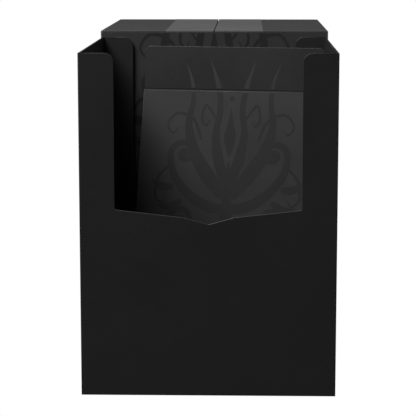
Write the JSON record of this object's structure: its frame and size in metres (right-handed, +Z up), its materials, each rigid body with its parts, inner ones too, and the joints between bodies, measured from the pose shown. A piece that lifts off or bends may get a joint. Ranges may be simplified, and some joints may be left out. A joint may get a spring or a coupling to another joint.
{
  "type": "card deck box",
  "caption": "Open-top card tray with notched front and back walls, a loose creased divider inside, and a slip-on cover standing behind it, all folded from dark plastic sheet.",
  "frame": {"origin": "centre of the footprint of the tray and the cover together, on the surface that they stand on", "axes": "-Y towards the viewer and the tray's notched front, +Y towards the cover behind it, +X to the right seen from the front, +Z up"},
  "size_m": [0.0764, 0.166, 0.1032],
  "materials": {
    "tray_sheet": "near-black polypropylene sheet, fine matt texture",
    "cover_sheet": "near-black polypropylene sheet, satin, with a tone-on-tone ornament on the front wall",
    "cover_top_sheet": "near-black polypropylene sheet, satin, smoother along the bonded middle strip",
    "divider_sheet": "dark grey polypropylene sheet, satin, with a tone-on-tone ornament"
  },
  "bodies": {
    "tray": {"tray_front_panel": "tray_sheet", "tray_back_panel": "tray_sheet", "tray_left_panel": "tray_sheet", "tray_right_panel": "tray_sheet", "tray_bottom_panel": "tray_sheet", "tray_bottom_left_flap": "tray_sheet", "tray_bottom_right_flap": "tray_sheet", "tray_glue_tab": "tray_sheet"},
    "cover": {"cover_front_panel": "cover_sheet", "cover_back_panel": "cover_sheet", "cover_left_panel": "cover_sheet", "cover_right_panel": "cover_sheet", "cover_top_left_flap": "cover_top_sheet", "cover_top_right_flap": "cover_top_sheet", "cover_front_inner_flap": "cover_sheet", "cover_back_inner_flap": "cover_sheet", "cover_glue_tab": "cover_sheet"},
    "divider": {"divider_panel": "divider_sheet"},
    "divider_tab": {"divider_tab": "divider_sheet"}
  },
  "joints": [
    {"name": "cover_lift", "type": "slide", "parent": "tray", "child": "cover", "axis": [0, 0, 1], "range_m": [0, 0.11]},
    {"name": "divider_lift", "type": "slide", "parent": "tray", "child": "divider", "axis": [0, 0, 1], "range_m": [0, 0.105]},
    {"name": "divider_crease", "type": "hinge", "parent": "divider", "child": "divider_tab", "pos_m": [0.0066, -0.03151, 0.08572], "axis": [0.9796, -0.2011, 0], "range_deg": [-20, 90]}
  ]
}
